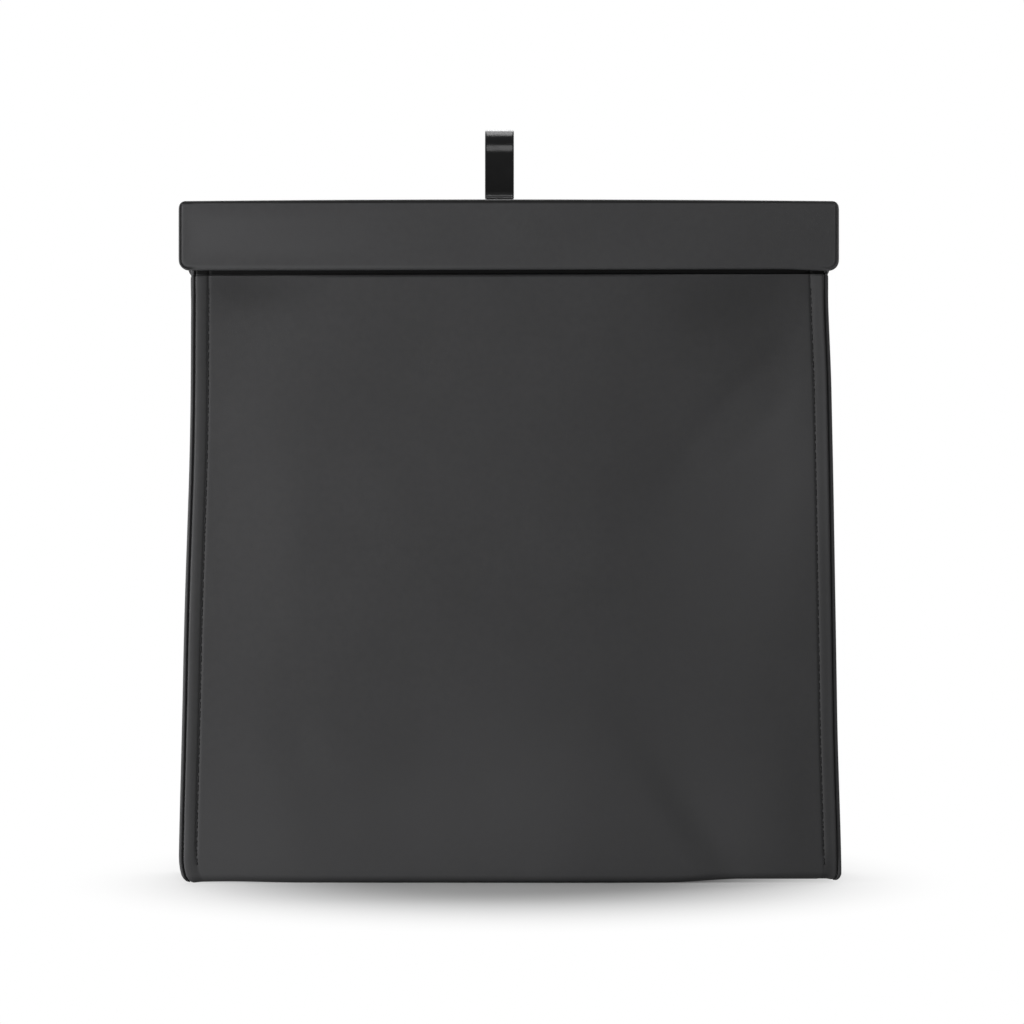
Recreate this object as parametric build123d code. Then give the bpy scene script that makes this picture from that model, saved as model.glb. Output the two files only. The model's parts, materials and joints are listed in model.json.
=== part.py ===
from build123d import *

import os
from math import hypot, sqrt

# Car trash bin: a sewn leather bag on a stiff mouth frame, with a flap lid that
# swings up on a leather hinge and a strap hook that hangs the bin from an edge.
# Frame: +Z up, +X to the right seen from the front, the front faces -Y.
# Origin: centre of the flat base. All sizes are in millimetres.

# Overall sizes
bin_height = 237.0        # base to the top of the closed lid
base_width = 229.0        # across the side seams at the base
mouth_width = 222.0       # across the side seams at the mouth
base_depth = 66.0
mouth_depth = 52.0
front_belly = 5.0         # how far the front wall bows out of a straight line
hem_step = 2.3            # front panel stands out by this, below the lid's lip
hem_gap = 1.9             # between the lid's lip and the front panel's hem
hem_edge = 0.6            # rounded edge of the hem
fold_radius = 4.0         # outer radius where the sheet turns under the base
inner_fold = 0.3          # tightest radius on the inside of that turn
base_corner = 4.5         # rounded lower ends of the side seams
seam_width = 5.5          # sewn edge that stands out beyond each side wall

# Sheets of the bag
leather = 1.2
lining = 0.6
strike_thickness = 0.8    # steel strike plate in the mouth frame
strike_floor = 0.8        # frame left behind a strike plate
frame_margin = 7.0        # mouth frame below the strike plates

# Lid and rear bar
header_width = 230.0
header_drop = 24.5        # height of the lid's lip and of the rear bar
header_edge = 1.6         # rounded edges of the lid's lip and of the rear bar
bar_ease = 0.8            # bevel around the rear bar's hidden face
shoulder_ease = 0.8       # top corners are rounder than the edges by this
lip_corner = 4.0          # rounded lower corners seen from the front
lid_fold = 1.6            # outer radius between the lid's top and its lip
lip_edge = 0.8            # rounded edges at the lip's end
skin = 0.9                # leather glued over the lid's and the bar's boards
lid_lining = 0.7
skin_margin = 3.0         # skin turned in around a board's edge
lining_margin = 4.0       # rim of skin left around the lid's lining
hinge_reach = 9.0         # hinge strip glued on the lid, from the hinge line
hinge_floor = 0.3         # skin left under the hinge strip
hinge_margin = 8.0        # hinge strip's ends, in from the lid's ends

# Magnets in the lid's lip
magnet_inset = 45.0       # from the lid's end to a magnet's middle
magnet_length = 20.0
magnet_width = 10.0
magnet_thickness = 2.0
magnet_floor = 0.4        # board left in front of a magnet
strike_margin = 2.0       # strike plate beyond the magnet, all round

# Hook and rivets
hook_offset = -3.4        # the hook sits left of the middle
hook_width = 10.4
hook_thickness = 1.8
hook_edge = 0.4           # bevel along the strap
hook_reach = 29.0         # top of the hook above the lid
hook_gap = 11.0           # clear width inside the hook
hook_lip = 22.0           # length of the hook's free leg below its top
hook_neck = 3.2           # straight stretch above the bar, before the step back
hook_step_bend = 1.7      # centre radius of the step's two bends
hook_step_run = 0.4       # straight stretch between those bends
hook_flare = 2.0          # free leg's end, turned out
hook_tip_radius = 3.0
hook_foot_height = 15.0
hook_foot_corner = 2.0
foot_margin = 3.9         # foot beyond a rivet hole
bar_web = 0.8             # board left in front of the hook's foot
rivet_spacing = 20.0
rivet_radius = 2.0
rivet_head_radius = 3.8
rivet_head_height = 1.3
rivet_head_edge = 0.8
rivet_cap_height = 0.8
rivet_cap_edge = 0.5

# Clearances
lid_gap = 0.3             # under the closed lid
hinge_gap = 0.6           # behind the lid's rolled edge
lip_gap = 0.4             # between the lid's lip and the front wall
board_gap = 0.5           # around the stiffening boards
rivet_play = 0.1

# Worked out from the sizes above
board = strike_thickness + strike_floor
wall = leather + board + lining
web_inset = seam_width + leather
lid_board = magnet_thickness + magnet_floor
lid_thickness = skin + lid_board + lid_lining
hinge_sheet = skin - hinge_floor
header_shoulder = header_edge + shoulder_ease
bar_board = bar_web + hook_thickness
bar_thickness = 2 * skin + bar_board
back_y = base_depth / 2
lip_z = bin_height - header_drop
hem_z = lip_z - hem_gap
lid_low = bin_height - lid_thickness
mouth_z = lid_low - lid_gap
closure_z = (lip_z + skin_margin + lid_low) / 2
frame_top = mouth_z - lining
board_edge = max(fold_radius, leather + board) + board_gap
frame_low = max(closure_z - magnet_width / 2 - strike_margin - frame_margin, hem_z)
hinge_y = back_y - hinge_gap - lid_thickness / 2
hinge_z = bin_height - lid_thickness / 2
rivet_z = bin_height - header_drop / 2
hook_foot_width = rivet_spacing + 2 * (rivet_radius + rivet_play + foot_margin)
hook_step = 2 * hook_step_bend + hook_step_run
wide = 2 * header_width   # longer than the bin in every direction


# Outlines that the sheets share

def front_arc():
    """Centre and radius of the front panel's outer face, seen from the side."""
    low_y = -base_depth / 2
    top_y = back_y - mouth_depth - hem_step
    chord = hypot(top_y - low_y, mouth_z)
    radius = (chord ** 2 / 4 + front_belly ** 2) / (2 * front_belly)
    inward_y = mouth_z / chord
    inward_z = (low_y - top_y) / chord
    centre_y = (low_y + top_y) / 2 + inward_y * (radius - front_belly)
    centre_z = mouth_z / 2 + inward_z * (radius - front_belly)
    return centre_y, centre_z, radius


def front_y(z, inset=0.0):
    """Where the front panel is at a height, inset measured through the wall."""
    centre_y, centre_z, radius = front_arc()
    return centre_y - sqrt((radius - inset) ** 2 - (z - centre_z) ** 2)


def mouth_y(z, inset=0.0):
    """Where the front wall is above its hem, behind the lid's lip."""
    return front_y(z, inset) + hem_step


def span(x, y, z):
    """A box from its low and high value along each axis."""
    box = Box(x[1] - x[0], y[1] - y[0], z[1] - z[0], align=Align.MIN)
    return box.moved(Pos(x[0], y[0], z[0]))


def slab(low, high):
    """Everything between two heights."""
    return span((-wide, wide), (-wide, wide), (low, high))


def bag_block(inset, top=mouth_z):
    """The bag's side outline moved inwards, drawn out along X."""
    hem = hem_z - inset
    front_low = (front_y(inset, inset), inset)
    front_mid = (front_y((inset + hem) / 2, inset), (inset + hem) / 2)
    front_hem = (front_y(hem, inset), hem)
    mouth_low = (mouth_y(hem, inset), hem)
    mouth_mid = (mouth_y((hem + top) / 2, inset), (hem + top) / 2)
    mouth_top = (mouth_y(top, inset), top)
    rear_top = (back_y - inset, top)
    rear_low = (back_y - inset, inset)
    outline = make_face([
        ThreePointArc(front_low, front_mid, front_hem),
        Line(front_hem, mouth_low),
        ThreePointArc(mouth_low, mouth_mid, mouth_top),
        Polyline(mouth_top, rear_top, rear_low, front_low),
    ])
    folds = outline.vertices().group_by(Axis.Y)[0]
    outline = fillet(folds, max(fold_radius - inset, inner_fold))
    if inset < hem_edge:
        brim = outline.vertices().sort_by_distance((*front_hem, 0))[0]
        outline = fillet(brim, hem_edge - inset)
    return extrude(Plane.YZ * outline, wide, both=True)


def bag_layer(outer, inner):
    """A sheet that runs down the front, under the base and up the back."""
    return bag_block(outer) - bag_block(inner, mouth_z + wall)


def outline_block(inset):
    """The bag's front outline moved inwards from its sides, drawn out along Y."""
    low = base_width / 2 - inset
    high = mouth_width / 2 - inset
    corners = [(-low, 0), (low, 0), (high, mouth_z), (-high, mouth_z)]
    outline = make_face(Polyline(*corners, close=True))
    if inset < base_corner:
        outline = fillet(outline.vertices().group_by(Axis.Y)[0], base_corner - inset)
    return extrude(Plane.XZ * outline, wide, both=True)


def header_outline():
    """Front view of the lid's lip and of the rear bar, as a face in XZ."""
    outline = Rectangle(header_width, header_drop)
    outline = fillet(outline.vertices().group_by(Axis.Y)[0], lip_corner)
    outline = fillet(outline.vertices().group_by(Axis.Y)[-1], header_shoulder)
    return Plane.XZ * Pos(0, lip_z + header_drop / 2) * outline


def closure_block(side, margin=0.0):
    """The stretch across the lid's lip and the front wall that a magnet takes up."""
    length = magnet_length / 2 + margin
    width = magnet_width / 2 + margin
    middle = side * (header_width / 2 - magnet_inset)
    return span(
        (middle - length, middle + length),
        (-wide, 0),
        (closure_z - width, closure_z + width),
    )


# Bag

def outer_wrap():
    """One sheet of leather: front wall, base and back wall."""
    return bag_layer(0, leather) & outline_block(0)


def gussets():
    """Both side walls, each with an edge turned out on three sides and sewn to the wrap."""
    edge = bag_layer(leather, 2 * leather) & (outline_block(0) - outline_block(seam_width))
    web = bag_block(leather) & (outline_block(seam_width) - outline_block(web_inset))
    return edge + web


def wall_board(depth, top):
    """Stiffening board, up to a height, in the wall that lies in a stretch of depth."""
    room = span((-wide, wide), depth, (board_edge, top - board_gap))
    return bag_layer(leather, leather + board) & outline_block(web_inset + board_gap) & room


def base_board():
    """Board on the base, clear of the folds."""
    depth = (front_y(leather + board) + board_edge, back_y - board_edge)
    plate = span((-wide, wide), depth, (leather, leather + board))
    return plate & outline_block(web_inset + board_gap)


def strike_plate(side):
    """Steel plate behind the front leather that the lid's magnet holds."""
    return bag_layer(leather, leather + strike_thickness) & closure_block(side, strike_margin)


def mouth_frame():
    """Ring that holds the mouth open, with pockets for the strike plates."""
    ring = bag_block(leather) & outline_block(web_inset) & slab(frame_low, frame_top)
    ring -= bag_block(leather + board) & outline_block(web_inset + board)
    return ring - strike_plate(-1) - strike_plate(1)


def inner_lining():
    """Waterproof inner bag, turned over the top of the mouth frame."""
    sheet = bag_block(leather + board) & outline_block(web_inset + board)
    rim = bag_block(leather) & outline_block(web_inset) & slab(frame_top, mouth_z)
    space = bag_block(wall, mouth_z + wall) & outline_block(web_inset + board + lining)
    return sheet + rim - space


# Lid

def lip_inner():
    """Inner face of the lid's lip, clear of the front wall at either end of the lip."""
    return min(mouth_y(lip_z), mouth_y(mouth_z)) - lip_gap


def lid_front():
    """Outer face of the lid's lip."""
    return lip_inner() - lid_thickness


def lid_body():
    """Whole lid: a flat top with a rolled rear edge on the hinge line, and a front lip."""
    front = lid_front()
    inner = lip_inner()
    half = lid_thickness / 2
    outline = make_face([
        Line((hinge_y, bin_height), (front + lid_fold, bin_height)),
        RadiusArc((front + lid_fold, bin_height), (front, bin_height - lid_fold), -lid_fold),
        Line((front, bin_height - lid_fold), (front, lip_z + lip_edge)),
        RadiusArc((front, lip_z + lip_edge), (front + lip_edge, lip_z), -lip_edge),
        Line((front + lip_edge, lip_z), (inner - lip_edge, lip_z)),
        RadiusArc((inner - lip_edge, lip_z), (inner, lip_z + lip_edge), -lip_edge),
        Polyline((inner, lip_z + lip_edge), (inner, lid_low), (hinge_y, lid_low)),
        ThreePointArc((hinge_y, lid_low), (hinge_y + half, hinge_z), (hinge_y, bin_height)),
    ])
    bent = extrude(Plane.YZ * outline, header_width / 2, both=True)
    plan = Pos(0, front + wide / 2) * Rectangle(header_width, wide)
    plan = fillet(plan.vertices().group_by(Axis.Y)[0], header_edge)
    return bent & extrude(header_outline(), wide, both=True) & extrude(plan, wide)


def lid_top_board():
    half = header_width / 2 - skin_margin
    depth = (lip_inner(), hinge_y - skin_margin)
    return span((-half, half), depth, (lid_low + lid_lining, bin_height - skin))


def lip_board_block():
    half = header_width / 2 - skin_margin
    depth = (lid_front() + skin, lip_inner() - lid_lining)
    return span((-half, half), depth, (lip_z + skin_margin, lid_low))


def magnet(side):
    """Bar magnet let into the inner face of the lip's board."""
    face = lip_inner() - lid_lining
    return closure_block(side) & span((-wide, wide), (face - magnet_thickness, face), (lip_z, lid_low))


def lid_lip_board():
    return lip_board_block() - magnet(-1) - magnet(1)


def lid_lining_sheet():
    """Lining under the lid's top and behind its lip, in one bent sheet."""
    width = (lining_margin - header_width / 2, header_width / 2 - lining_margin)
    face = lip_inner() - lid_lining
    top = span(width, (face, hinge_y - lining_margin), (lid_low, lid_low + lid_lining))
    lip = span(width, (face, lip_inner()), (lip_z + lining_margin, lid_low))
    return top + lip


def lid_cover():
    """Leather skin of the lid, turned in around its boards."""
    return lid_body() - lid_top_board() - lip_board_block() - lid_lining_sheet() - hinge_block()


# Rear bar, hinge and hook

def hinge_block():
    """Strip of leather let in flush across the hinge line."""
    half = header_width / 2 - hinge_margin
    depth = (hinge_y - hinge_reach, back_y + bar_thickness - header_edge)
    return span((-half, half), depth, (bin_height - hinge_sheet, bin_height))


def hinge_strip():
    return hinge_block() - hook()


def rear_bar_body():
    bar = extrude(header_outline(), -bar_thickness).moved(Pos(0, back_y, 0))
    bar = chamfer(bar.faces().sort_by(Axis.Y)[0].edges(), bar_ease)
    return fillet(bar.faces().sort_by(Axis.Y)[-1].edges(), header_edge)


def rear_bar_block():
    half = header_width / 2 - skin_margin
    depth = (back_y + skin, back_y + skin + bar_board)
    return span((-half, half), depth, (lip_z + skin_margin, bin_height - skin_margin))


def rear_bar_board():
    return rear_bar_block() - hook() - rivet_holes()


def rear_bar_cover():
    return rear_bar_body() - rear_bar_block() - hook() - hinge_block() - rivet_holes()


def hook():
    """Bent steel strap: a foot inside the rear bar, a step back, and an open hook."""
    foot_y = back_y + skin + bar_web + hook_thickness / 2
    step_z = bin_height + hook_neck + hook_step_bend
    strap_y = foot_y + hook_step
    lip_y = strap_y + hook_gap + hook_thickness
    top_z = bin_height + hook_reach - hook_thickness / 2
    tip_z = bin_height + hook_reach - hook_lip
    top_bend = (lip_y - strap_y - hook_step_run) / 2
    path = Plane.YZ * FilletPolyline(
        (foot_y, rivet_z),
        (foot_y, step_z),
        (strap_y, step_z),
        (strap_y, top_z),
        (lip_y, top_z),
        (lip_y, tip_z + 2 * hook_flare),
        (lip_y + 2 * hook_flare, tip_z - 2 * hook_flare),
        radius=[hook_step_bend, hook_step_bend, top_bend, top_bend, hook_step_bend],
    )
    section = Plane(path @ 0, x_dir=(1, 0, 0), z_dir=(0, 0, 1))
    blank = Rectangle(hook_width, hook_thickness)
    blank = chamfer(blank.vertices(), hook_edge)
    strap = sweep(section * blank, path)
    round_end = RectangleRounded(hook_width, 2 * hook_lip, hook_tip_radius)
    round_end = extrude(Plane.XZ * Pos(0, tip_z + hook_lip) * round_end, wide, both=True)
    end = span((-wide, wide), (lip_y - hook_thickness, wide), (rivet_z, tip_z + hook_tip_radius))
    strap -= end - round_end
    foot = RectangleRounded(hook_foot_width, hook_foot_height, hook_foot_corner)
    foot = extrude(Plane.XZ * foot, hook_thickness / 2, both=True)
    strap += foot.moved(Pos(0, foot_y, rivet_z))
    return strap.moved(Pos(hook_offset, 0, 0)) - rivet_holes()


def rivet_axes():
    """Places of the two rivets, each with its axis along +Y."""
    return [
        Pos(hook_offset + side * rivet_spacing / 2, 0, rivet_z) * Rot(-90, 0, 0)
        for side in (-1, 1)
    ]


def disc(radius, height, low):
    """A cylinder that starts at a height on its axis."""
    upright = (Align.CENTER, Align.CENTER, Align.MIN)
    return Pos(0, 0, low) * Cylinder(radius, height, align=upright)


def rivet_holes():
    """Holes through the rear bar and the back wall."""
    drill = disc(rivet_radius + rivet_play, wide, 0)
    return Part() + [axis * drill for axis in rivet_axes()]


def hook_rivets():
    """Two double-cap rivets through the bar, the hook's foot and the back wall."""
    outside = back_y + bar_thickness
    inside = back_y - wall
    head = disc(rivet_head_radius, rivet_head_height, outside)
    head = chamfer(head.edges().sort_by(Axis.Z)[-1], rivet_head_edge)
    cap = disc(rivet_head_radius, rivet_cap_height, inside - rivet_cap_height)
    cap = chamfer(cap.edges().sort_by(Axis.Z)[0], rivet_cap_edge)
    rivet = disc(rivet_radius, outside - inside, inside) + head + cap
    return Part() + [axis * rivet for axis in rivet_axes()]


def main():
    left, right = gussets().solids().sort_by(Axis.X)
    parts = {
        "outer_wrap": outer_wrap() - rivet_holes(),
        "left_gusset": left,
        "right_gusset": right,
        "front_board": wall_board((-wide, 0), hem_z - leather - board),
        "back_board": wall_board((0, wide), frame_low),
        "base_board": base_board(),
        "mouth_frame": mouth_frame() - rivet_holes(),
        "inner_lining": inner_lining() - rivet_holes(),
        "left_strike_plate": strike_plate(-1),
        "right_strike_plate": strike_plate(1),
        "lid_cover": lid_cover(),
        "lid_top_board": lid_top_board(),
        "lid_lip_board": lid_lip_board(),
        "lid_lining": lid_lining_sheet(),
        "left_magnet": magnet(-1),
        "right_magnet": magnet(1),
        "hinge_strip": hinge_strip(),
        "rear_bar_cover": rear_bar_cover(),
        "rear_bar_board": rear_bar_board(),
        "hook": hook(),
        "hook_rivets": hook_rivets(),
    }
    os.makedirs("parts", exist_ok=True)
    for name, shape in parts.items():
        export_step(shape, f"parts/{name}.step")


main()
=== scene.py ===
import json
import math

import bmesh
import bpy
import numpy as np
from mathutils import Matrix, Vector, geometry, noise


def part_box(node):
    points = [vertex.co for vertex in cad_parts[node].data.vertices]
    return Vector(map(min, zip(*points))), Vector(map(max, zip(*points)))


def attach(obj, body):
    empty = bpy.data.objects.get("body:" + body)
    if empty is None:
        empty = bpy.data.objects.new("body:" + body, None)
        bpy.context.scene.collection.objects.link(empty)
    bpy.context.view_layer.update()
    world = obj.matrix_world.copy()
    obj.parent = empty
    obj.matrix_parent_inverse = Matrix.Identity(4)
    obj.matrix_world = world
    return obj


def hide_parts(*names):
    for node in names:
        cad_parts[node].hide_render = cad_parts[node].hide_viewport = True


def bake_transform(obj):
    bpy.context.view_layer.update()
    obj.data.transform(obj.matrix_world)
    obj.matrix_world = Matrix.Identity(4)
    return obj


# Car trash bin: the leather bag, its lid, lining and hook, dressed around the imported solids.
# Lengths are in millimetres until a mesh is made. The front faces -Y.

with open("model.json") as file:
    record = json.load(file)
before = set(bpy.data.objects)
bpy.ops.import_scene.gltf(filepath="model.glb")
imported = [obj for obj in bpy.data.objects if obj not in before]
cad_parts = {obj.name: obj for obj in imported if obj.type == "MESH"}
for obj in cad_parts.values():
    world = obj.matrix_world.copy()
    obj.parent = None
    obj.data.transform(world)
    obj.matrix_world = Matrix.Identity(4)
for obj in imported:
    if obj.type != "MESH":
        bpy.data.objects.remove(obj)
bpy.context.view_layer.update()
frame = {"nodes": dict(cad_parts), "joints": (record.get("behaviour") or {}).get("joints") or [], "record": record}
MM = 0.001


def box_mm(node):
    """A node's lowest and highest corner, in millimetres."""
    low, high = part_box(node)
    return np.array(low) / MM, np.array(high) / MM


wrap_high = box_mm("outer_wrap")[1]
lid_low, lid_high = box_mm("lid_cover")
bar_low, bar_high = box_mm("rear_bar_cover")
strip_low, strip_high = box_mm("hinge_strip")
lid_cloth_low, lid_cloth_high = box_mm("lid_lining")
hook_low, hook_high = box_mm("hook")
rivet_low, rivet_high = box_mm("hook_rivets")
hinge_y, hinge_z = (1000 * v for v in frame["joints"][0]["pos_m"][1:])

# Bag sizes that the boxes don't give
BASE_WIDTH = 229.0
MOUTH_WIDTH = 222.0
MOUTH_DEPTH = 52.0
FRONT_BELLY = 5.0
HEM_STEP = 2.3  # front panel stands out by this below the lid's lip
FOLD_RADIUS = 2.8
SEAM_WIDTH = 5.5
LEATHER = 1.2
LINING = 0.6
WALL = 3.4
LIP_RAISE = 0.6  # the lid's lip ends above its solid
mouth_z = wrap_high[2]
back_y = wrap_high[1]
lip_z = lid_low[2] + LIP_RAISE

# Soft forms of the bag
HEM_Z = lip_z - 1.6  # hem of the front panel, below the closed lid's lip
HEM_SOFT = 0.22  # half the height of the step at the hem
PANEL_PUFF = 1.1  # front panel between its seams
PANEL_SINK = -0.9  # and its lowest place, still in front of the board
BACK_PUFF = 0.8
WRAP_RIM = 1.6  # wrap's side edge, inside the gusset's rim
SEAM_LINE = 4.5  # stitch line from the wrap's edge
GROOVE_DEPTH = 0.28
GROOVE_HALF = 0.5
GUSSET_LIFT = 0.25
GUSSET_FLARE = 1.0  # gusset's rim turned towards the wrap's face
GUSSET_SAG = 1.3
GUSSET_FOLD = 1.4

# Stitches
STITCH_PITCH = 3.2
STITCH_LENGTH = 2.3
STITCH_RINGS = 7
THREAD_RADIUS = 0.36
THREAD_SIDES = 8


# Small forms

def smooth(low, high, value):
    """0 below low, 1 above high and an even curve between."""
    t = np.clip((value - low) / (high - low), 0, 1)
    return t * t * (3 - 2 * t)


def bell(value, middle, half):
    """1 at the middle, running out evenly to both sides."""
    return np.exp(-((value - middle) / half) ** 2)


def hill(x, z, at, size, turn=0.0):
    """A round hill of height 1 with two half widths, its first axis turned from +X in degrees."""
    c, s = math.cos(math.radians(turn)), math.sin(math.radians(turn))
    along = (x - at[0]) * c + (z - at[1]) * s
    across = (z - at[1]) * c - (x - at[0]) * s
    return bell(along, 0, size[0]) * bell(across, 0, size[1])


def hills(x, z, table):
    """Hills added up, from rows of height, place, half widths and, for some, a turn."""
    return sum(row[0] * hill(x, z, *row[1:]) for row in table)


def unrest(x, z, length, layer):
    """Smooth noise from about -1 to 1, with bumps of about that length."""
    pairs = zip(np.ravel(x), np.ravel(z))
    values = [noise.noise(Vector((a / length, b / length, layer))) for a, b in pairs]
    return np.reshape(values, np.shape(x))


def rounding(inset, radius):
    """How far a rounded edge falls back at an inset from the edge."""
    t = np.clip(radius - inset, 0, radius)
    return radius - np.sqrt(radius ** 2 - t ** 2)


def running_length(line):
    """Length along a line of points, up to each of them."""
    return np.concatenate([[0], np.cumsum(np.linalg.norm(np.diff(line, axis=0), axis=1))])


def at_length(length, lengths, values):
    """Values between the points of a line, at a length along it."""
    return np.array([np.interp(length, lengths, column) for column in values.T])


# Meshes

def new_object(name, data):
    """A scene object for a mesh, a light or a camera."""
    made = bpy.data.objects.new(name, data)
    bpy.context.scene.collection.objects.link(made)
    return made


def mesh_object(name, verts, faces, material, sharp=40.0, merge=0.0, closed=True):
    """A smooth-shaded object from points in millimetres."""
    mesh = bpy.data.meshes.new(name)
    mesh.from_pydata((np.asarray(verts, float) * MM).tolist(), [], faces)
    bm = bmesh.new()
    bm.from_mesh(mesh)
    if merge:
        bmesh.ops.remove_doubles(bm, verts=bm.verts, dist=merge * MM)
    if closed:
        bmesh.ops.recalc_face_normals(bm, faces=bm.faces)
    bm.to_mesh(mesh)
    bm.free()
    mesh.polygons.foreach_set("use_smooth", [True] * len(mesh.polygons))
    mesh.set_sharp_from_angle(angle=math.radians(sharp))
    mesh.materials.append(material)
    return new_object(name, mesh)


def point_attributes(piece, **attributes):
    """Numbers at each point of a mesh, for its material."""
    for name, values in attributes.items():
        layer = piece.data.attributes.new(name, "FLOAT", "POINT")
        layer.data.foreach_set("value", np.ravel(values).astype(np.float32))


def stand_in(piece, body, node):
    """Sets a piece on a body, in place of a node's solid, which it hides."""
    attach(piece, body)
    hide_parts(node)


def unit(vectors):
    return vectors / np.maximum(np.linalg.norm(vectors, axis=-1, keepdims=True), 1e-9)


def grid_faces(rows, cols, start=0, ring=False):
    """Quads between the points of a grid, closed across its columns for a ring."""
    last = cols if ring else cols - 1
    faces = []
    for i in range(rows - 1):
        for j in range(last):
            a, b = start + i * cols + j, start + i * cols + (j + 1) % cols
            faces.append((a, b, b + cols, a + cols))
    return faces


def edge_loop(rows, cols, open_side):
    """Grid places around the edge; an open side leaves out the last column."""
    top = [(0, j) for j in range(cols - 1, -1, -1)]
    left = [(i, 0) for i in range(1, rows)]
    low = [(rows - 1, j) for j in range(1, cols)]
    right = [] if open_side else [(i, cols - 1) for i in range(rows - 2, 0, -1)]
    return top + left + low + right


def sheet_between(outer, inner, open_side=False, steps=6):
    """Points and faces of a sheet with round edges, from grids on its two faces."""
    rows, cols = outer.shape[:2]
    mid, spread = (outer + inner) / 2, (outer - inner) / 2
    under = rows * cols
    verts = [outer.reshape(-1, 3), inner.reshape(-1, 3)]
    faces = grid_faces(rows, cols)
    faces += [face[::-1] for face in grid_faces(rows, cols, under)]
    loop = edge_loop(rows, cols, open_side)
    out = np.zeros((len(loop), 3))
    for k, (i, j) in enumerate(loop):
        if i in (0, rows - 1):
            out[k] += unit(mid[i, j] - mid[1 if i == 0 else rows - 2, j])
        if j == 0 or (j == cols - 1 and not open_side):
            out[k] += unit(mid[i, j] - mid[i, 1 if j == 0 else cols - 2])
    place = tuple(np.array(loop).T)
    out = unit(out) * np.linalg.norm(spread[place], axis=1, keepdims=True)
    rings = [[i * cols + j for i, j in loop]]
    for step in range(1, steps):
        turn = math.pi * step / steps
        rings.append([2 * under + (step - 1) * len(loop) + k for k in range(len(loop))])
        verts.append(mid[place] + out * math.sin(turn) + spread[place] * math.cos(turn))
    rings.append([under + i * cols + j for i, j in loop])
    span = len(loop) - 1 if open_side else len(loop)
    for ring, following in zip(rings, rings[1:]):
        for k in range(span):
            m = (k + 1) % len(loop)
            faces.append((ring[k], following[k], following[m], ring[m]))
    return np.vstack(verts), faces


def tube_faces(rows, cols, start=0):
    """Quads around a tube of rings, and the faces that close its ends."""
    end = start + rows * cols
    caps = [tuple(range(start, start + cols))[::-1], tuple(range(end - cols, end))]
    return grid_faces(rows, cols, start, ring=True) + caps


def swept(stations, section):
    """Points and faces of a closed section drawn along X, with flat ends."""
    loops = []
    for x in stations:
        yz = section(x)
        loops.append(np.column_stack([np.full(len(yz), x), yz]))
    faces = [face[::-1] for face in tube_faces(len(loops), len(loops[0]))]
    return np.vstack(loops), faces


def arc(centre, radii, start, end, steps):
    """Points on an upright arc, round or an ellipse, between two angles in degrees."""
    turn = np.radians(np.linspace(start, end, steps))
    return np.column_stack([np.cos(turn), np.sin(turn)]) * radii + centre


def corner_arcs(half, high, radius, steps):
    """The four rounded corners of a rectangle around the origin, given half its sides."""
    return [
        arc((a * (half - radius), b * (high - radius)), radius, turn, turn + 90, steps)
        for a, b, turn in ((1, 1, 0), (-1, 1, 90), (-1, -1, 180), (1, -1, 270))
    ]


def run(start, end, steps):
    """Points on a straight stretch, without its ends."""
    share = np.linspace(0, 1, steps + 2)[1:-1, None]
    return np.array(start) * (1 - share) + np.array(end) * share


def joined(bends, steps):
    """A closed loop of bends, with straight runs between them."""
    points = []
    for bend, following, count in zip(bends, bends[1:] + bends[:1], steps):
        points += [bend, run(bend[-1], following[0], count)]
    return np.vstack(points)


def both_ends(half, insets, middle):
    """Stations across a width, close together at the ends."""
    inner = half - insets[-1]
    return np.concatenate([insets - half, np.linspace(-inner, inner, middle)[1:-1], half - insets[::-1]])


# Materials

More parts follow.
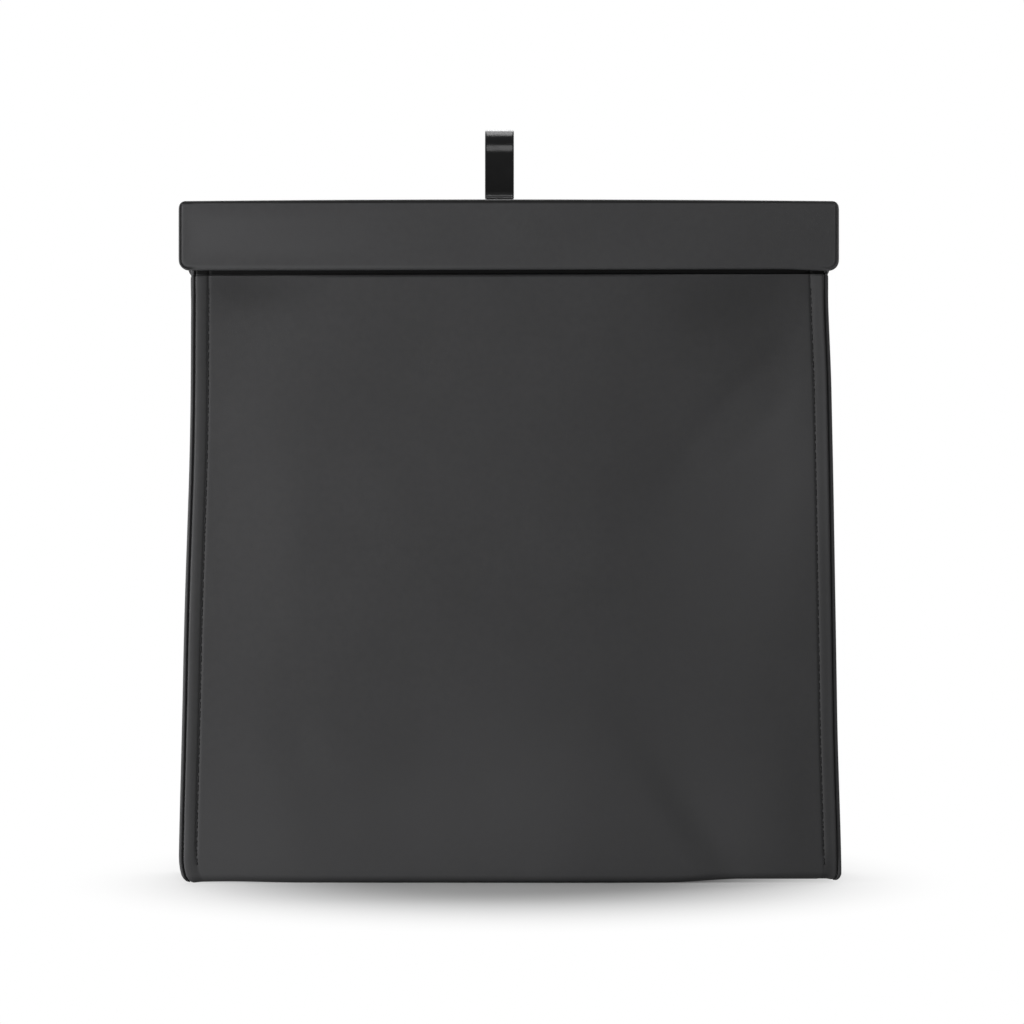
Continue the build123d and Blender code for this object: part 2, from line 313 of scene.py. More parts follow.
class Tree:
    """A material's or world's nodes, made and linked in one call each."""

    def __init__(self, owner):
        owner.use_nodes = True
        self.owner = owner
        self.tree = owner.node_tree
        self.tree.nodes.clear()

    def add(self, kind, inputs=None, **settings):
        node = self.tree.nodes.new(kind)
        for name, value in settings.items():
            setattr(node, name, value)
        for name, value in (inputs or {}).items():
            socket = node.inputs[name]
            if isinstance(value, bpy.types.NodeSocket):
                self.tree.links.new(value, socket)
            else:
                socket.default_value = value
        return node

    def place(self, kind="Object"):
        return self.add("ShaderNodeTexCoord").outputs[kind]

    def attribute(self, name):
        return self.add("ShaderNodeAttribute", attribute_name=name).outputs["Fac"]

    def noise(self, vector, scale, detail=3.0):
        made = self.add("ShaderNodeTexNoise", {"Vector": vector, "Scale": scale, "Detail": detail})
        return made.outputs["Fac"]

    def wave(self, vector, scale, distortion, direction, detail=2.0):
        made = self.add("ShaderNodeTexWave", {
            "Vector": vector, "Scale": scale, "Distortion": distortion, "Detail": detail,
        }, bands_direction=direction)
        return made.outputs["Fac"]

    def remap(self, value, low, high, start=0.0, end=1.0, **settings):
        made = self.add("ShaderNodeMapRange", {
            "Value": value, "From Min": start, "From Max": end, "To Min": low, "To Max": high,
        }, **settings)
        return made.outputs["Result"]

    def math(self, operation, *values):
        return self.add("ShaderNodeMath", dict(enumerate(values)), operation=operation).outputs[0]

    def blend(self, share, first, second):
        return self.add("ShaderNodeMix", {0: share, 6: first, 7: second}, data_type="RGBA").outputs[2]

    def bump(self, height, strength, distance, normal=None):
        inputs = {"Height": height, "Strength": strength, "Distance": distance * MM}
        if normal is not None:
            inputs["Normal"] = normal
        return self.add("ShaderNodeBump", inputs).outputs["Normal"]

    def seen(self):
        """1 for the rays that show a surface, straight, mirrored or through glass."""
        ray = self.add("ShaderNodeLightPath").outputs
        direct = self.math("MAXIMUM", ray["Is Camera Ray"], ray["Is Glossy Ray"])
        return self.math("MAXIMUM", direct, ray["Is Transmission Ray"])

    def surface(self, tone, rough, normal, specular=0.5, metallic=0.0):
        shader = self.add("ShaderNodeBsdfPrincipled", {
            "Base Color": tone, "Roughness": rough, "Normal": normal,
            "Specular IOR Level": specular, "Metallic": metallic,
        })
        self.add("ShaderNodeOutputMaterial", {"Surface": shader.outputs[0]})
        return self.owner


def grey(value, blue=1.03):
    """A neutral colour, a touch blue."""
    return (value, value, value * blue, 1.0)


def leather_material(name, level):
    """Matt synthetic leather: fine pebble grain, soft mottling, black edge paint and painted shade, and painted
    light and highlights with some wear.
    """
    tree = Tree(bpy.data.materials.new(name))
    place = tree.place()
    cells = tree.add("ShaderNodeTexVoronoi", {"Vector": place, "Scale": 1300.0, "Randomness": 0.9})
    pores = tree.remap(cells.outputs["Distance"], 1.0, 0.0, 0.0, 0.75)
    grain = tree.math("MULTIPLY_ADD", tree.noise(place, 3800.0, 2.0), 0.5, pores)
    cloud = tree.noise(place, 28.0, 4.0)
    speck = tree.noise(place, 420.0, 2.0)
    tone = tree.blend(tree.remap(cloud, 0.0, 1.0, 0.3, 0.7), grey(level * 0.95), grey(level * 1.05))
    tone = tree.blend(tree.remap(speck, 0.0, 0.35, 0.35, 0.75), tone, grey(level * 0.8))
    # Lighter tone from the attribute: painted light and highlights, with some wear.
    worn = tree.math("MULTIPLY", tree.attribute("worn"), tree.remap(speck, 0.62, 0.8, 0.3, 0.7))
    tone = tree.blend(worn, tone, grey(level * 1.7))
    # Near-black tone from the attribute: edge paint, and painted shade in slots, gaps, grooves and corners.
    tone = tree.blend(tree.attribute("paint"), tone, grey(0.003))
    rough = tree.remap(tree.noise(place, 160.0, 3.0), 0.6, 0.64, 0.3, 0.7)
    relief = tree.bump(grain, 0.22, 0.06, tree.bump(cloud, 0.1, 0.5))
    return tree.surface(tone, rough, relief, specular=0.12)


def cloth_material():
    """Coated woven lining: a fine plain weave in the sheet's own coordinates."""
    tree = Tree(bpy.data.materials.new("lining_cloth"))
    warp, weft = (tree.wave(tree.place("UV"), 0.42, 0.25, way, 1.0) for way in ("X", "Y"))
    weave = tree.math("MAXIMUM", warp, weft)
    cloud = tree.noise(tree.place(), 35.0, 3.0)
    tone = tree.blend(weave, grey(0.014), grey(0.034))
    tone = tree.blend(tree.remap(cloud, 0.0, 0.5, 0.35, 0.75), tone, grey(0.03))
    rough = tree.remap(weave, 0.75, 0.6)
    return tree.surface(tone, rough, tree.bump(weave, 0.5, 0.15), specular=0.2)


def board_material():
    """Pressed fibre board."""
    tree = Tree(bpy.data.materials.new("stiffener"))
    fibres = tree.noise(tree.place(), 900.0, 4.0)
    tone = tree.blend(tree.remap(fibres, 0.0, 1.0, 0.3, 0.7), grey(0.05), grey(0.1))
    rough = tree.remap(fibres, 0.7, 0.9)
    return tree.surface(tone, rough, tree.bump(fibres, 0.3, 0.1), specular=0.3)


def metal_paint_material():
    """Gloss black coat on steel, with a faint orange peel and painted highlights on its bends."""
    tree = Tree(bpy.data.materials.new("black_metal"))
    place = tree.place()
    peel = tree.noise(place, 700.0, 2.0)
    mottle = tree.noise(place, 240.0, 4.0)
    # Lighter coat from the attribute: painted highlights and reflection on the hook's bends, and slightly lighter
    # edges.
    worn = tree.math("MULTIPLY", tree.attribute("worn"), tree.remap(mottle, 0.6, 1.0, 0.35, 0.65))
    tone = tree.blend(worn, grey(0.007), grey(0.08))
    rough = tree.remap(mottle, 0.16, 0.26, 0.3, 0.7)
    return tree.surface(tone, rough, tree.bump(peel, 0.06, 0.05), specular=0.085)


def steel_material():
    """Plain plated steel, drawn along X."""
    tree = Tree(bpy.data.materials.new("steel"))
    stretch = {"Vector": tree.place(), "Scale": (60.0, 2400.0, 2400.0)}
    lines = tree.noise(tree.add("ShaderNodeMapping", stretch).outputs[0], 1.0, 3.0)
    tone = tree.blend(lines, grey(0.45), grey(0.6))
    rough = tree.remap(lines, 0.28, 0.45)
    return tree.surface(tone, rough, tree.bump(lines, 0.1, 0.03), metallic=1.0)


def thread_material():
    """Black sewing thread with a twist."""
    tree = Tree(bpy.data.materials.new("thread"))
    twist = tree.wave(tree.place(), 900.0, 1.0, "DIAGONAL")
    tone = tree.blend(twist, grey(0.008), grey(0.016))
    rough = tree.remap(twist, 0.85, 0.7)
    return tree.surface(tone, rough, tree.bump(twist, 0.4, 0.1), specular=0.12)


bag_leather = leather_material("bag_leather", 0.031)
header_leather = leather_material("header_leather", 0.035)
lining_cloth = cloth_material()
stiffener = board_material()
black_metal = metal_paint_material()
steel = steel_material()
thread = thread_material()


# Walls of the bag

def front_bow():
    """Centre and radius of the front panel's outer face, seen from the side."""
    low_y, top_y = -back_y, back_y - MOUTH_DEPTH - HEM_STEP
    chord = math.hypot(top_y - low_y, mouth_z)
    radius = (chord ** 2 / 4 + FRONT_BELLY ** 2) / (2 * FRONT_BELLY)
    reach = radius - FRONT_BELLY
    centre_y = (low_y + top_y) / 2 + mouth_z / chord * reach
    centre_z = mouth_z / 2 + (low_y - top_y) / chord * reach
    return centre_y, centre_z, radius


bow_y, bow_z, bow_radius = front_bow()


def panel_y(z, inset=0.0):
    """The front panel at a height, at a depth in the wall."""
    return bow_y - np.sqrt((bow_radius - inset) ** 2 - (z - bow_z) ** 2)


def straight_half(z):
    """Half the width across the side seams, without any slack."""
    return BASE_WIDTH / 2 + (MOUTH_WIDTH - BASE_WIDTH) / 2 * z / mouth_z


def seam_half(side, z):
    """Where a side seam's rim is, with the slack that it shows; side is -1 or 1."""
    if side < 0:
        slack = 0.5 * (1 - smooth(0, 70, z)) - bell(z, 155, 50) - 0.35
        width, height = 3.2, 10.0
    else:
        slack = 0.3 + 0.7 * (1 - smooth(0, 60, z)) - 0.5 * smooth(170, 205, z)
        width, height = 2.2, 3.6
    corner = width * (1 - np.sqrt(1 - np.clip(1 - z / height, 0, 1) ** 2))
    return straight_half(z) + slack - corner


WALL_Z = np.concatenate([
    np.linspace(mouth_z - LEATHER / 2, lip_z, 8),
    np.linspace(HEM_Z + 1.2, HEM_Z - 1.2, 25),
    np.linspace(HEM_Z - 1.8, FOLD_RADIUS, 100),
])
FOLD_STEPS = 8
BASE_STEPS = 18
FRONT_FOLD = arc((0, 0), 1, 180, 270, FOLD_STEPS + 2)[1:]
REAR_FOLD = arc((0, 0), 1, 270, 360, FOLD_STEPS + 2)[1:-1]
FRONT, BASE, BACK = 0, 1, 2


def profile(inset):
    """Points (y, z) at a depth in the wall, row by row: down the front, under the base, up the back."""
    z = WALL_Z - inset * bell(WALL_Z, HEM_Z, 9)
    step = HEM_STEP * smooth(HEM_Z - inset - HEM_SOFT, HEM_Z - inset + HEM_SOFT, z)
    front = np.column_stack([panel_y(z, inset) + step, z])
    hub = np.array([panel_y(FOLD_RADIUS) + FOLD_RADIUS, FOLD_RADIUS])
    rear_hub = np.array([back_y - FOLD_RADIUS, FOLD_RADIUS])
    under = np.vstack([run(hub, rear_hub, BASE_STEPS), rear_hub]) * (1, 0) + (0, inset)
    fold = FOLD_RADIUS - inset
    back = np.column_stack([np.full(len(WALL_Z), back_y - inset), WALL_Z[::-1]])
    return np.vstack([front, hub + fold * FRONT_FOLD, under, rear_hub + fold * REAR_FOLD, back])


def wall_rows():
    """Outward direction in (y, z) and wall of each row of a profile."""
    front = unit(np.column_stack([panel_y(WALL_Z), WALL_Z]) - (bow_y, bow_z))
    down = np.tile((0.0, -1.0), (BASE_STEPS + 1, 1))
    back = np.tile((1.0, 0.0), (len(WALL_Z), 1))
    outward = np.vstack([front, FRONT_FOLD, down, REAR_FOLD, back])
    base_rows = len(outward) - len(front) - len(back)
    return outward, np.repeat([FRONT, BASE, BACK], [len(front), base_rows, len(back)])


def groove(edge):
    """The stitch line, pressed into the leather."""
    return -GROOVE_DEPTH * bell(edge, SEAM_LINE, GROOVE_HALF)


def flange_crown(edge):
    """Soft crown of the sewn edge outside the stitch line."""
    return 0.22 * np.sin(np.pi * np.clip(edge / SEAM_LINE, 0, 1))


def flange_tilt(x, edge):
    """The right seam's sewn edge stands up a little towards its rim."""
    return 0.75 * np.clip(1 - edge / SEAM_LINE, 0, 1) * (x > 0)


def seam_bow(side, z):
    """The right seam stands forward a little at half its height."""
    return 0.8 * bell(z, 138, 25) * (side > 0)


def foot_fade(z):
    """The soft forms run out where the sheet turns under the base."""
    return smooth(FOLD_RADIUS - 1, 13, z)


# Forms, painted shade and painted light of the front leather: height, place (x, z), half widths, turn
FRONT_FORMS = [
    (-1.7, (91, 172), (36, 9), 43),
    (-0.7, (88, 204), (20, 8)),
    (-0.5, (-73, 48), (8, 11), 20),
    (1.9, (18, 26), (42, 30), -20),
    (0.9, (85, 24), (17, 24)),
]
# Painted shade: darker leather under the lid's corners
FRONT_SHADES = [
    (0.26, (-89, 207), (22, 8)),
    (0.2, (78, 200), (26, 20)),
    (0.16, (99, 208), (17, 9)),
]
# Painted light: lighter patches low in the middle, at the right and along the right seam
FRONT_PAINTED_LIGHT = [
    (0.28, (22, 32), (52, 38)),
    (0.25, (76, 112), (34, 42)),
    (0.45, (102, 150), (12, 24)),
]


def front_height(x, z, edge):
    """How far the front leather stands out of its flat board."""
    inside = edge - SEAM_LINE
    across = np.where(x < 0, smooth(0, 36, inside), smooth(-3, 14, inside))
    swell = (PANEL_PUFF + 1.1 * bell(z, 133, 36)) * (1 - 0.85 * smooth(8, 74, x))
    hollow = smooth(26, 60, x) * (1 - smooth(76, 106, x)) * bell(z, 136, 30)
    hollow = hollow + 0.6 * smooth(34, 88, x) * bell(z, 198, 16)
    lee = (x - 57) * 0.826 + (z - 27) * 0.565
    fold = 1.3 * smooth(-7, 6, lee) * hill(x, z, (66, 16), (40, 24), -55)
    drift = 0.25 * unrest(x, z, 46, 3.1) + 0.1 * unrest(x, z, 17, 7.4)
    panel = np.maximum(swell - hollow + hills(x, z, FRONT_FORMS) - fold + drift, PANEL_SINK)
    corner = -1.2 * smooth(-108, -87, x) * (1 - smooth(-87, -40, x)) * bell(z, 208, 9)
    hem = 1 - smooth(HEM_Z - 1.2, HEM_Z + 0.4, z)
    seam = foot_fade(z) * (flange_crown(edge) + flange_tilt(x, edge))
    bow = smooth(72, 104, x) * seam_bow(1, z)
    return hem * (across * panel + corner + seam + bow) + groove(edge) * foot_fade(z)


def back_height(x, z, edge):
    """The back leather is flatter, and lies flat behind the rear bar."""
    across = smooth(0, 14, edge - SEAM_LINE)
    panel = BACK_PUFF + 0.25 * unrest(x, z, 52, 11.3) + 0.5 * hill(x, z, (-40, 60), (50, 40), 20)
    clear = 1 - smooth(lip_z - 9, lip_z - 2, z)
    return foot_fade(z) * (clear * (across * panel + 0.4 + flange_crown(edge)) + groove(edge))


def settled(points):
    """Uneven lower front edge, with the seams like small feet, and a hem that slopes a little."""
    x, y, z = np.moveaxis(points, -1, 0)
    lift = 0.4 * bell(x, -97, 15) + 1.4 * smooth(52, 84, x)
    lift = lift - smooth(110, 114.5, x) - 0.5 * smooth(106, 113, -x)
    share = bell(z, 0, 9) * (1 - smooth(-20, 5, y))
    slope = 0.3 * x / 110 * bell(z, HEM_Z, 12) * (y < -10)
    return np.stack([x, y, z + np.maximum(lift, 0) * share + slope], axis=-1)


EDGE_INSETS = np.array([
    0.0, 0.3, 0.7, 1.2, 1.8, 2.4, 2.8, 3.1, 3.3, 3.5, 3.7, 3.9, 4.1, 4.3, 4.6, 5.0, 5.5, 6.1, 6.9,
    7.9, 9.0, 10.5, 12.3, 14.4, 17.0,
])
MIDDLE_COLUMNS = 72


def wrap_grid():
    """Both faces of the wrap, as grids of points, and each point's inset from the side edge."""
    outward, wall = wall_rows()
    outer, inner = profile(0), profile(LEATHER)
    half = {side: seam_half(side, outer[:, 1]) - WRAP_RIM - LEATHER / 2 for side in (-1, 1)}
    share = np.linspace(0, 1, MIDDLE_COLUMNS)[1:-1]
    rows = []
    for left, right in zip(half[-1], half[1]):
        middle = (EDGE_INSETS[-1] - left) * (1 - share) + (right - EDGE_INSETS[-1]) * share
        rows.append(np.concatenate([EDGE_INSETS - left, middle, right - EDGE_INSETS[::-1]]))
    x = np.array(rows)
    edge = np.minimum(x + half[-1][:, None], half[1][:, None] - x) + LEATHER / 2
    z = np.repeat(outer[:, 1:], x.shape[1], axis=1)
    height = np.where(
        wall[:, None] == FRONT, front_height(x, z, edge),
        np.where(wall[:, None] == BACK, back_height(x, z, edge), 0),
    )
    fold = np.flatnonzero(wall == BASE)[:FOLD_STEPS + 1]
    fade = 1 - smooth(0, 0.75, np.linspace(0, 1, FOLD_STEPS + 2)[1:])
    height[fold] = height[fold[0] - 1] * fade[:, None]
    grids = []
    for face in (outer, inner):
        y, z = (face[:, k:k + 1] + outward[:, k:k + 1] * height for k in (0, 1))
        grids.append(settled(np.stack([x, y, z], axis=-1)))
    return *grids, edge, wall


wrap_outer, wrap_inner, wrap_edge, wrap_wall = wrap_grid()
wrap_normals = unit(np.cross(np.gradient(wrap_outer, axis=1), np.gradient(wrap_outer, axis=0)))


def make_wrap():
    """One sheet of leather: front panel, base and back panel."""
    verts, faces = sheet_between(wrap_outer, wrap_inner)
    piece = mesh_object("bag_wrap", verts, faces, bag_leather, sharp=60)
    x, y, z = verts.T
    inset = wrap_edge.ravel()
    count = inset.size
    # Painted shade: near-black leather in the slot under the lid's lip, and darker patches under its corners.
    slot = smooth(HEM_Z - 0.1, HEM_Z + 0.25, z) * (1 - smooth(lip_z + 2, lip_z + 5, z))
    paint = np.maximum(slot, hills(x, z, FRONT_SHADES)) * (y < 0)
    # Painted shade along the sewn edges and in their stitch groove.
    seam = 0.25 * smooth(1.2, 2.2, inset) * (1 - smooth(SEAM_LINE + 0.2, SEAM_LINE + 0.7, inset))
    paint[:count] = np.maximum(paint[:count], seam)
    # Painted highlight on the upper part of the right sewn edge.
    upper_right = smooth(100, 150, wrap_outer[..., 2]) * (wrap_outer[..., 0] > 0)
    flange = 0.75 * upper_right * (1 - smooth(SEAM_LINE - 1.2, SEAM_LINE - 0.4, wrap_edge))
    flange = flange * (wrap_wall[:, None] == FRONT)
    # Painted highlight along the wrap's rounded side edges.
    rim = np.zeros(len(verts))
    rim[:count] = np.maximum(0.3 * (1 - smooth(0.6, 1.1, inset)), flange.ravel())
    rim[2 * count:] = 0.3
    # Painted light: lighter towards the bottom, less so at the right, and in the lighter patches above.
    foot = 0.55 * bell(z, 0, 36) * (1 - 0.7 * smooth(78, 106, x))
    painted_light = (foot + hills(x, z, FRONT_PAINTED_LIGHT)) * (y < -25)
    point_attributes(piece, paint=paint, worn=np.maximum(rim, painted_light))
    stand_in(piece, "bin", "outer_wrap")


def make_gusset(side, name, node):
    """A side wall with its edge turned out and sewn to the wrap on three sides."""
    outward, wall = wall_rows()
    z = profile(0)[:, 1]
    half = LEATHER / 2
    rim = seam_half(side, z) - half
    web = straight_half(z) - SEAM_WIDTH - half
    lift = GUSSET_LIFT * foot_fade(z) * (1 - smooth(HEM_Z - 6, HEM_Z - 2, z)) + seam_bow(side, z)
    raised = outward * (lift * (wall == FRONT))[:, None]
    sewn = 1.5 * LEATHER
    faces = {-1: [], 1: []}

    def column(x, depth, turn):
        """One line down both faces, around the sheet's middle at x and a depth, turned by an angle."""
        for way in (-1, 1):
            path = profile(depth - way * half * math.cos(turn)) + raised
            faces[way].append(np.column_stack([side * (x - way * half * math.sin(turn)), path]))

    for share in np.concatenate([np.linspace(0, 0.42, 8), np.linspace(0.5, 1, 6)[:-1]]):
        x = rim * (1 - share) + (web + GUSSET_FOLD) * share
        column(x, sewn - GUSSET_FLARE * (1 - smooth(0.09, 0.26, share)), 0.0)
    for turn in np.radians(np.linspace(0, 90, 6)):
        x = web + GUSSET_FOLD * (1 - math.sin(turn))
        column(x, sewn + GUSSET_FOLD * (1 - math.cos(turn)), turn)
    start = profile(sewn + GUSSET_FOLD) + raised
    count = len(WALL_Z)
    low_row = int(np.argmin(np.abs(WALL_Z - back_y)))
    middle = (start[:count] + start[::-1][:count]) / 2
    spine = np.tile(middle[low_row], (len(start), 1))
    spine[:low_row] = middle[:low_row]
    spine[len(start) - low_row:] = middle[:low_row][::-1]
    for share in np.linspace(0, 1, 26)[1:]:
        at = start * (1 - share) + spine * share
        depth = 1 - (1 - share) ** 2
        height = smooth(6, 50, at[:, 1]) * (1 - smooth(168, HEM_Z - 3, at[:, 1]))
        crease = 0.5 * bell(share, 1, 0.12)
        sag = height * (GUSSET_SAG * depth - crease + 0.2 * unrest(at[:, 0], at[:, 1], 30, 5.5 + side))
        for way in (-1, 1):
            faces[way].append(np.column_stack([side * (web - np.maximum(sag, 0) - way * half), at]))
    outer, inner = (settled(np.stack(faces[way], axis=1)) for way in (1, -1))
    verts, quads = sheet_between(outer, inner, open_side=True)
    piece = mesh_object(name, verts, quads, bag_leather, sharp=60, merge=0.02)
    places = np.array([v.co for v in piece.data.vertices]) / MM
    from_rim = seam_half(side, np.clip(places[:, 2], 0, None)) - side * places[:, 0]
    # Painted shade: a dark band in the gap behind the wrap's edge; painted highlight on the gusset's outer rim.
    paint = 0.08 * smooth(0.85, 1.1, from_rim) * (1 - smooth(2.4, 3.2, from_rim))
    point_attributes(piece, paint=paint, worn=0.7 * (1 - smooth(0.7, 1.0, from_rim)))
    stand_in(piece, "bin", node)


def stitch(centre, along, out):
    """One stitch: a short arched thread whose ends dip into the leather."""
    across = np.cross(along, out)
    around = arc((0, 0), THREAD_RADIUS, 0, 360, THREAD_SIDES + 1)[:-1] @ [across, out]
    rings = []
    for t in np.linspace(-1, 1, STITCH_RINGS):
        rise = 0.3 * math.cos(t * math.pi / 2) - 0.1
        slim = math.sqrt(max(1 - t ** 6, 0.08))
        rings.append(centre + along * t * STITCH_LENGTH / 2 + out * rise + around * slim)
    return np.vstack(rings)


def make_stitches():
    """Both seams, sewn through front and back."""
    shapes, faces = [], []
    seam = int(np.argmin(np.abs(EDGE_INSETS + LEATHER / 2 - SEAM_LINE)))
    for wall in (FRONT, BACK):
        rows = np.flatnonzero(wrap_wall == wall)
        for column in (seam, wrap_outer.shape[1] - 1 - seam):
            line, out = wrap_outer[rows, column], wrap_normals[rows, column]
            lengths = running_length(line)
            for at in np.arange(STITCH_PITCH, lengths[-1] - 2, STITCH_PITCH):
                start, end = (at_length(at + way * STITCH_LENGTH / 2, lengths, line) for way in (-1, 1))
                if min(abs(start[2] - HEM_Z), abs(end[2] - HEM_Z)) < STITCH_PITCH:
                    continue
                first = len(shapes) * STITCH_RINGS * THREAD_SIDES
                faces += tube_faces(STITCH_RINGS, THREAD_SIDES, first)
                normal = at_length(at, lengths, out)
                shapes.append(stitch((start + end) / 2, unit(end - start), unit(normal)))
    piece = mesh_object("seam_stitches", np.vstack(shapes), faces, thread, sharp=80)
    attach(piece, "bin")


# Lining of the bag

def cloth_object(name, grid, across, thickness, ring=False):
    """A sheet of lining on a grid of points: its weave in millimetres, its thickness behind its face."""
    rows, cols = grid.shape[:2]
    faces = grid_faces(rows, cols, ring=ring)
    if ring:
        faces.append(tuple(range((rows - 1) * cols, rows * cols)))
    piece = mesh_object(name, grid.reshape(-1, 3), faces, lining_cloth, sharp=70, closed=False)
    along = running_length(grid[:, 0])
    corners = np.array([loop.vertex_index for loop in piece.data.loops])
    weave = np.column_stack([across[corners % cols], along[corners // cols]])
    piece.data.uv_layers.new(name="weave").data.foreach_set("uv", weave.ravel().astype(np.float32))
    solid = piece.modifiers.new("thickness", "SOLIDIFY")
    solid.thickness = thickness * MM
    solid.offset = -1
    solid.use_even_offset = True
    return piece


def rounded_ring(half, front, back, radius, z):
    """A rounded rectangle at one height, seen from above, always with as many points."""
    bends = corner_arcs(half, (back - front) / 2, radius, 6)
    flat = joined(bends, (44, 14, 44, 14)) + (0, (front + back) / 2)
    return np.column_stack([flat, np.full(len(flat), z)])


MOUTH_ROLL = 0.9  # height of the turn over the mouth frame
FOOT_BEND = 6.0
LINING_SLACK = 1.6


def make_lining():
    """Waterproof inner bag, turned over the mouth frame, hung inside the boards, slack at the foot."""
    floor = WALL

    def level(z, out, radius):
        half = straight_half(z) - SEAM_WIDTH - WALL
        front = float(panel_y(z, WALL) + HEM_STEP * smooth(HEM_Z - 14, HEM_Z - WALL, z))
        return rounded_ring(half + out, front - out, back_y - WALL + out, radius, z)

    turn_out = WALL - LEATHER - LINING / 2
    rings = []
    for turn in np.radians(np.linspace(180, 0, 9)):
        out = turn_out / 2 - turn_out / 2 * math.cos(turn)
        rings.append(level(mouth_z - MOUTH_ROLL + MOUTH_ROLL * math.sin(turn), out, 3.0))
    for z in np.linspace(mouth_z - 2.5, floor + FOOT_BEND, 60):
        rings.append(level(z, 0.0, 3.0 + 3.0 * (1 - smooth(floor, 70, z))))
    base = rings[-1]
    centre = base.mean(axis=0)
    reach = np.array([abs(base[:, 0]).max(), np.ptp(base[:, 1]) / 2, 1])

    def shrunk(ring, share, z):
        ring = centre + (ring - centre) * share
        ring[:, 2] = z
        return ring

    for turn in np.radians(np.linspace(0, 90, 7)[1:]):
        share = 1 - FOOT_BEND * (1 - math.cos(turn)) / reach
        rings.append(shrunk(base, share, floor + FOOT_BEND * (1 - math.sin(turn))))
    edge = rings[-1]
    rings += [shrunk(edge, share, floor) for share in np.linspace(1, 0.02, 14)[1:]]
    grid = np.array(rings)
    low = (1 - smooth(20, 120, grid[..., 2])) * smooth(floor, floor + 10, grid[..., 2])
    wrinkle = unrest(grid[..., 0] + grid[..., 1] * 0.7, grid[..., 2] * 0.6, 24, 2.2) * low
    inward = unit((centre - grid) * (1, 1, 0))
    grid = grid + inward * np.maximum(wrinkle, 0)[..., None] * LINING_SLACK
    wall_ring = grid[20]
    around = np.cumsum(np.linalg.norm(np.diff(wall_ring, axis=0, append=wall_ring[:1]), axis=1))
    piece = cloth_object("bag_lining", grid, around, LINING, ring=True)
    stand_in(piece, "bin", "inner_lining")


# Lid and rear bar

LID_THICKNESS = 4.0
SHOULDER = 2.4
LIP_CORNER = 3.6
PLAN_EDGE = 1.1
TOP_FOLD = 1.4
LIP_EDGE = 0.8
SOFT_EDGE = 0.5
CREASE_INSET = 0.9
END_INSETS = np.array([
    0.0, 0.08, 0.2, 0.4, 0.65, 0.9, 1.15, 1.35, 1.5, 1.65, 1.9, 2.2, 2.6, 3.1, 3.6, 4.2, 5.2, 6.6,
    8.5, 11.0, 14.0,
])
FRONT_SHARES = np.concatenate([
    np.linspace(0, 0.14, 9), np.linspace(0.17, 0.78, 16), np.linspace(0.8, 1, 15),
])


def lid_section(x):
    """Lid seen from the end, at a place across it: top, front lip, inner faces and rolled rear edge."""
    inset = lid_high[0] - abs(x)
    top = lid_high[2] - rounding(inset, SHOULDER)
    front = lid_low[1] + rounding(inset, PLAN_EDGE)
    low = lip_z + rounding(inset, LIP_CORNER)
    soft = rounding(inset, SOFT_EDGE)
    inner = lid_low[1] + LID_THICKNESS - soft
    under = lid_high[2] - LID_THICKNESS + soft
    face_top, face_low = top - TOP_FOLD, low + LIP_EDGE
    face = np.column_stack([
        np.full(len(FRONT_SHARES), front),
        face_top + (face_low - face_top) * FRONT_SHARES,
    ])
    roll = (top - under) / 2
    return np.vstack([
        run((hinge_y, top), (front + TOP_FOLD, top), 26),
        arc((front + TOP_FOLD, face_top), TOP_FOLD, 90, 180, 8)[:-1],
        face,
        arc((front + LIP_EDGE, face_low), LIP_EDGE, 180, 270, 6)[1:],
        arc((inner - LIP_EDGE, face_low), LIP_EDGE, 270, 360, 6),
        run((inner, face_low), (inner, under), 10),
        run((inner, under), (hinge_y, under), 18),
        arc((hinge_y, under + roll), (LID_THICKNESS / 2 - soft, roll), -90, 90, 11),
    ])


def band_depth(x, z, half, low, high):
    """How far a point of the front band lies inside its outline, with the rounded lower corners."""
    hub_x, hub_z = half - LIP_CORNER, low + LIP_CORNER
    in_corner = (np.abs(x) > hub_x) & (z < hub_z)
    corner = LIP_CORNER - np.hypot(np.abs(x) - hub_x, z - hub_z)
    return np.where(in_corner, corner, np.minimum.reduce([half - np.abs(x), z - low, high - z]))


